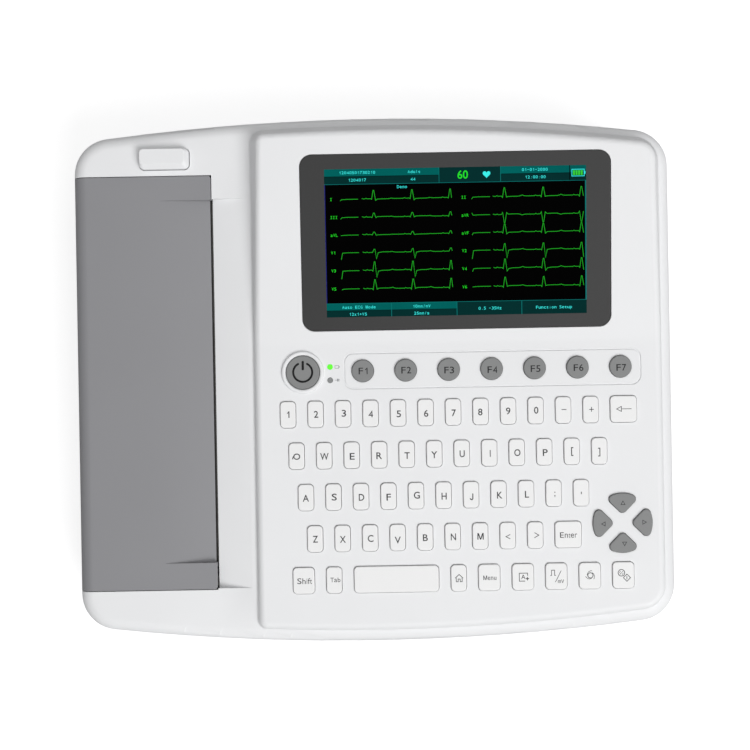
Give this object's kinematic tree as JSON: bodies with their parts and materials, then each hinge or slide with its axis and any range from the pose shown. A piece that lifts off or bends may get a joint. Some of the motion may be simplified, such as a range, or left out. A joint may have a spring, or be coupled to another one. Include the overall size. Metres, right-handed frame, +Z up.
{
  "type": "ecg machine",
  "caption": "Desktop ECG recorder: wedge-shaped plastic casing with a tilted colour display, keyboard, function keys and a drop-in thermal paper printer under a hinged door.",
  "frame": {"origin": "middle of the casing's footprint on the table, at the underside of the feet", "axes": "+X to the operator's right, +Y to the rear, +Z up; the keyboard surface rises 5 degrees to the rear"},
  "size_m": [0.356, 0.318, 0.0993],
  "materials": {
    "lower_case": "fine moulded texture",
    "upper_case": "fine moulded texture",
    "screen_window": "smooth, clear over the display",
    "lcd_module": "matt",
    "status_lights": "clear",
    "keypad_mat": "matt",
    "keypad_board": "solder mask over glass fibre",
    "main_board": "solder mask over glass fibre",
    "power_supply": "solder mask over glass fibre",
    "battery_pack": "shrink sleeve",
    "battery_cover": "fine moulded texture",
    "mains_inlet": "moulded",
    "data_ports": "plated",
    "lead_socket": "moulded",
    "rubber_feet": "matt",
    "screws": "zinc plated",
    "printer_frame": "zinc plated sheet",
    "stepper_motor": "satin",
    "pivot_pins": "ground",
    "springs": "zinc plated",
    "button_spring": "zinc plated",
    "printer_door": "fine moulded texture",
    "platen_gear": "acetal",
    "platen_shaft": "ground",
    "platen_roller": "ground",
    "idler_gear": "acetal",
    "motor_pinion": "acetal",
    "paper_roll": "uncoated edge",
    "paper_spindle": "moulded",
    "print_head": "glazed",
    "head_carrier": "extruded",
    "door_latch": "zinc plated",
    "release_button": "fine moulded texture",
    "number_keys": "fine moulded texture",
    "upper_letter_keys": "fine moulded texture",
    "middle_letter_keys": "fine moulded texture",
    "lower_letter_keys": "fine moulded texture",
    "backspace_key": "fine moulded texture",
    "enter_key": "fine moulded texture",
    "shift_key": "fine moulded texture",
    "tab_key": "fine moulded texture",
    "space_bar": "fine moulded texture",
    "home_key": "fine moulded texture",
    "menu_key": "fine moulded texture",
    "case_key": "fine moulded texture",
    "calibration_key": "fine moulded texture",
    "feed_key": "fine moulded texture",
    "record_key": "fine moulded texture",
    "f1_key": "fine moulded texture",
    "f2_key": "fine moulded texture",
    "f3_key": "fine moulded texture",
    "f4_key": "fine moulded texture",
    "f5_key": "fine moulded texture",
    "f6_key": "fine moulded texture",
    "f7_key": "fine moulded texture",
    "power_button": "fine moulded texture",
    "up_key": "fine moulded texture",
    "left_key": "fine moulded texture",
    "down_key": "fine moulded texture",
    "right_key": "fine moulded texture"
  },
  "bodies": {
    "casing": {"lower_case": "lower_case", "upper_case": "upper_case", "screen_window": "screen_window", "lcd_module": "lcd_module", "status_lights": "status_lights", "keypad_mat": "keypad_mat", "keypad_board": "keypad_board", "main_board": "main_board", "power_supply": "power_supply", "battery_pack": "battery_pack", "battery_cover": "battery_cover", "mains_inlet": "mains_inlet", "data_ports": "data_ports", "lead_socket": "lead_socket", "rubber_feet": "rubber_feet", "screws": "screws", "printer_frame": "printer_frame", "stepper_motor": "stepper_motor", "pivot_pins": "pivot_pins", "springs": "springs", "button_spring": "button_spring"},
    "door": {"printer_door": "printer_door"},
    "platen": {"platen_gear": "platen_gear", "platen_shaft": "platen_shaft", "platen_roller": "platen_roller"},
    "idler": {"idler_gear": "idler_gear"},
    "motor_rotor": {"motor_pinion": "motor_pinion"},
    "reel": {"paper_roll": "paper_roll", "paper_spindle": "paper_spindle"},
    "head": {"print_head": "print_head", "head_carrier": "head_carrier"},
    "latch": {"door_latch": "door_latch"},
    "release": {"release_button": "release_button"},
    "number_keys": {"number_keys": "number_keys"},
    "upper_letter_keys": {"upper_letter_keys": "upper_letter_keys"},
    "middle_letter_keys": {"middle_letter_keys": "middle_letter_keys"},
    "lower_letter_keys": {"lower_letter_keys": "lower_letter_keys"},
    "backspace_key": {"backspace_key": "backspace_key"},
    "enter_key": {"enter_key": "enter_key"},
    "shift_key": {"shift_key": "shift_key"},
    "tab_key": {"tab_key": "tab_key"},
    "space_bar": {"space_bar": "space_bar"},
    "home_key": {"home_key": "home_key"},
    "menu_key": {"menu_key": "menu_key"},
    "case_key": {"case_key": "case_key"},
    "calibration_key": {"calibration_key": "calibration_key"},
    "feed_key": {"feed_key": "feed_key"},
    "record_key": {"record_key": "record_key"},
    "f1_key": {"f1_key": "f1_key"},
    "f2_key": {"f2_key": "f2_key"},
    "f3_key": {"f3_key": "f3_key"},
    "f4_key": {"f4_key": "f4_key"},
    "f5_key": {"f5_key": "f5_key"},
    "f6_key": {"f6_key": "f6_key"},
    "f7_key": {"f7_key": "f7_key"},
    "power_button": {"power_button": "power_button"},
    "up_key": {"up_key": "up_key"},
    "left_key": {"left_key": "left_key"},
    "down_key": {"down_key": "down_key"},
    "right_key": {"right_key": "right_key"}
  },
  "joints": [
    {"name": "door_hinge", "type": "hinge", "parent": "casing", "child": "door", "pos_m": [-0.1735, -0.0011, 0.04113], "axis": [0, -0.9962, -0.0872], "range_deg": [0, 95]},
    {"name": "platen_spin", "type": "hinge", "parent": "door", "child": "platen", "pos_m": [-0.1045, -0.00232, 0.05507], "axis": [0, -0.9962, -0.0872], "continuous": true},
    {"name": "idler_spin", "type": "hinge", "parent": "casing", "child": "idler", "pos_m": [-0.09445, -0.00081, 0.03773], "axis": [0, -0.9962, -0.0872], "continuous": true},
    {"name": "motor_spin", "type": "hinge", "parent": "casing", "child": "motor_rotor", "pos_m": [-0.07611, -0.00121, 0.04229], "axis": [0, -0.9962, -0.0872], "continuous": true},
    {"name": "reel_spin", "type": "hinge", "parent": "casing", "child": "reel", "pos_m": [-0.1445, -0.00123, 0.04262], "axis": [0, -0.9962, -0.0872], "continuous": true},
    {"name": "head_tilt", "type": "hinge", "parent": "casing", "child": "head", "pos_m": [-0.0915, -0.00076, 0.03714], "axis": [0, 0.9962, 0.0872], "range_deg": [0, 2]},
    {"name": "latch_turn", "type": "hinge", "parent": "casing", "child": "latch", "pos_m": [-0.101, 0.0002, 0.02618], "axis": [0, 0.9962, 0.0872], "range_deg": [0, 9.5]},
    {"name": "release_press", "type": "slide", "parent": "casing", "child": "release", "axis": [0, 0.0872, -0.9962], "range_m": [0, 0.003], "deforming": ["button_spring"]},
    {"name": "number_keys_press", "type": "slide", "parent": "casing", "child": "number_keys", "axis": [0, 0.0872, -0.9962], "range_m": [0, 0.0012]},
    {"name": "upper_letter_keys_press", "type": "slide", "parent": "casing", "child": "upper_letter_keys", "axis": [0, 0.0872, -0.9962], "range_m": [0, 0.0012]},
    {"name": "middle_letter_keys_press", "type": "slide", "parent": "casing", "child": "middle_letter_keys", "axis": [0, 0.0872, -0.9962], "range_m": [0, 0.0012]},
    {"name": "lower_letter_keys_press", "type": "slide", "parent": "casing", "child": "lower_letter_keys", "axis": [0, 0.0872, -0.9962], "range_m": [0, 0.0012]},
    {"name": "backspace_key_press", "type": "slide", "parent": "casing", "child": "backspace_key", "axis": [0, 0.0872, -0.9962], "range_m": [0, 0.0012]},
    {"name": "enter_key_press", "type": "slide", "parent": "casing", "child": "enter_key", "axis": [0, 0.0872, -0.9962], "range_m": [0, 0.0012]},
    {"name": "shift_key_press", "type": "slide", "parent": "casing", "child": "shift_key", "axis": [0, 0.0872, -0.9962], "range_m": [0, 0.0012]},
    {"name": "tab_key_press", "type": "slide", "parent": "casing", "child": "tab_key", "axis": [0, 0.0872, -0.9962], "range_m": [0, 0.0012]},
    {"name": "space_bar_press", "type": "slide", "parent": "casing", "child": "space_bar", "axis": [0, 0.0872, -0.9962], "range_m": [0, 0.0012]},
    {"name": "home_key_press", "type": "slide", "parent": "casing", "child": "home_key", "axis": [0, 0.0872, -0.9962], "range_m": [0, 0.0012]},
    {"name": "menu_key_press", "type": "slide", "parent": "casing", "child": "menu_key", "axis": [0, 0.0872, -0.9962], "range_m": [0, 0.0012]},
    {"name": "case_key_press", "type": "slide", "parent": "casing", "child": "case_key", "axis": [0, 0.0872, -0.9962], "range_m": [0, 0.0012]},
    {"name": "calibration_key_press", "type": "slide", "parent": "casing", "child": "calibration_key", "axis": [0, 0.0872, -0.9962], "range_m": [0, 0.0012]},
    {"name": "feed_key_press", "type": "slide", "parent": "casing", "child": "feed_key", "axis": [0, 0.0872, -0.9962], "range_m": [0, 0.0012]},
    {"name": "record_key_press", "type": "slide", "parent": "casing", "child": "record_key", "axis": [0, 0.0872, -0.9962], "range_m": [0, 0.0012]},
    {"name": "f1_key_press", "type": "slide", "parent": "casing", "child": "f1_key", "axis": [0, 0.0872, -0.9962], "range_m": [0, 0.0012]},
    {"name": "f2_key_press", "type": "slide", "parent": "casing", "child": "f2_key", "axis": [0, 0.0872, -0.9962], "range_m": [0, 0.0012]},
    {"name": "f3_key_press", "type": "slide", "parent": "casing", "child": "f3_key", "axis": [0, 0.0872, -0.9962], "range_m": [0, 0.0012]},
    {"name": "f4_key_press", "type": "slide", "parent": "casing", "child": "f4_key", "axis": [0, 0.0872, -0.9962], "range_m": [0, 0.0012]},
    {"name": "f5_key_press", "type": "slide", "parent": "casing", "child": "f5_key", "axis": [0, 0.0872, -0.9962], "range_m": [0, 0.0012]},
    {"name": "f6_key_press", "type": "slide", "parent": "casing", "child": "f6_key", "axis": [0, 0.0872, -0.9962], "range_m": [0, 0.0012]},
    {"name": "f7_key_press", "type": "slide", "parent": "casing", "child": "f7_key", "axis": [0, 0.0872, -0.9962], "range_m": [0, 0.0012]},
    {"name": "power_button_press", "type": "slide", "parent": "casing", "child": "power_button", "axis": [0, 0.0872, -0.9962], "range_m": [0, 0.0012]},
    {"name": "up_key_press", "type": "slide", "parent": "casing", "child": "up_key", "axis": [0, 0.0872, -0.9962], "range_m": [0, 0.0012]},
    {"name": "left_key_press", "type": "slide", "parent": "casing", "child": "left_key", "axis": [0, 0.0872, -0.9962], "range_m": [0, 0.0012]},
    {"name": "down_key_press", "type": "slide", "parent": "casing", "child": "down_key", "axis": [0, 0.0872, -0.9962], "range_m": [0, 0.0012]},
    {"name": "right_key_press", "type": "slide", "parent": "casing", "child": "right_key", "axis": [0, 0.0872, -0.9962], "range_m": [0, 0.0012]}
  ],
  "couplings": [
    {"joint": "platen_spin", "follows": "reel_spin", "ratio": 3.0714},
    {"joint": "idler_spin", "follows": "reel_spin", "ratio": -2.0476},
    {"joint": "motor_spin", "follows": "reel_spin", "ratio": 3.6134},
    {"joint": "latch_turn", "follows": "release_press", "rad_per_m": 52}
  ]
}
